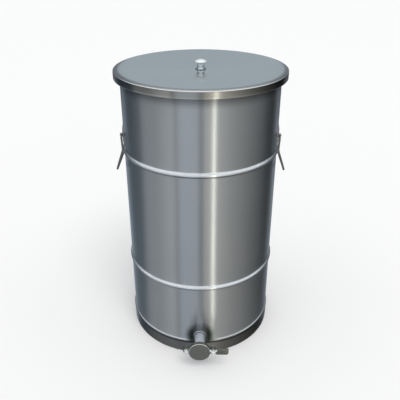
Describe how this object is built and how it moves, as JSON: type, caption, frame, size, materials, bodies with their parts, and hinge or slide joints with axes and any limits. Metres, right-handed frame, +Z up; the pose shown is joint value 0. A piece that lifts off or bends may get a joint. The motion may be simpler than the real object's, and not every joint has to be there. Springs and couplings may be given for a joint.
{
  "type": "honey settling tank",
  "caption": "Free-standing round sheet-steel tank with swage beads, a lift-off knobbed lid, drop handles and a swinging gate on a low outlet, for letting honey settle and drawing it off.",
  "frame": {"origin": "on the tank axis, at floor level in the plane of the base ring's foot", "axes": "+Z up along the tank axis, -Y towards the outlet and its gate, +X to the right seen from the gate"},
  "size_m": [0.4392, 0.4865, 0.7658],
  "materials": {
    "shell_steel": "circumferentially brushed stainless sheet",
    "lid_steel": "smooth spun stainless sheet",
    "base_steel": "plain rolled stainless strip",
    "rod_steel": "drawn stainless rod",
    "plate_steel": "pressed stainless plate",
    "neck_steel": "satin stainless tube",
    "gate_steel": "ground stainless plate",
    "fastener_steel": "bright stainless fasteners",
    "knob_chrome": "polished turned steel",
    "gasket_rubber": "matt dark grey rubber",
    "seal_rubber": "matt pale silicone rubber"
  },
  "bodies": {
    "tank": {"shell_lower_course": "shell_steel", "shell_lower_bead": "shell_steel", "shell_middle_course": "shell_steel", "shell_upper_bead": "shell_steel", "shell_upper_course": "shell_steel", "shell_mouth_curl": "shell_steel", "tank_floor": "base_steel", "base_ring": "base_steel", "left_handle_plate": "plate_steel", "right_handle_plate": "plate_steel", "outlet_neck": "neck_steel", "neck_collar": "neck_steel", "gate_body": "gate_steel", "gate_seal": "seal_rubber", "pivot_bolt": "fastener_steel", "pivot_washer": "fastener_steel", "pivot_nut": "fastener_steel", "clamp_stud": "fastener_steel"},
    "lid": {"lid_pan": "lid_steel", "knob_gasket": "gasket_rubber", "lid_knob": "knob_chrome", "knob_washer": "fastener_steel", "knob_screw": "fastener_steel"},
    "left_bail": {"left_bail": "rod_steel"},
    "right_bail": {"right_bail": "rod_steel"},
    "gate_blade": {"gate_blade": "gate_steel"},
    "clamp_washer": {"clamp_washer": "fastener_steel"},
    "hand_nut": {"hand_nut": "knob_chrome"}
  },
  "joints": [
    {"name": "lid_lift", "type": "slide", "parent": "tank", "child": "lid", "axis": [0, 0, 1], "range_m": [0, 0.25]},
    {"name": "left_bail_swing", "type": "hinge", "parent": "tank", "child": "left_bail", "pos_m": [-0.19966, 0, 0.587], "axis": [0, 1, 0], "range_deg": [0, 160]},
    {"name": "right_bail_swing", "type": "hinge", "parent": "tank", "child": "right_bail", "pos_m": [0.19966, 0, 0.587], "axis": [0, -1, 0], "range_deg": [0, 160]},
    {"name": "gate_swing", "type": "hinge", "parent": "tank", "child": "gate_blade", "pos_m": [-0.0355, -0.2585, 0.062], "axis": [0, -1, 0], "range_deg": [0, 170]},
    {"name": "washer_slide", "type": "slide", "parent": "tank", "child": "clamp_washer", "axis": [0, -1, 0], "range_m": [0, 0.003]},
    {"name": "nut_turn", "type": "hinge", "parent": "clamp_washer", "child": "hand_nut", "pos_m": [0.0365, -0.265, 0.062], "axis": [0, -1, 0], "range_deg": [0, 1080]}
  ],
  "couplings": [
    {"joint": "washer_slide", "follows": "nut_turn", "m_per_rad": 0.00015915}
  ]
}
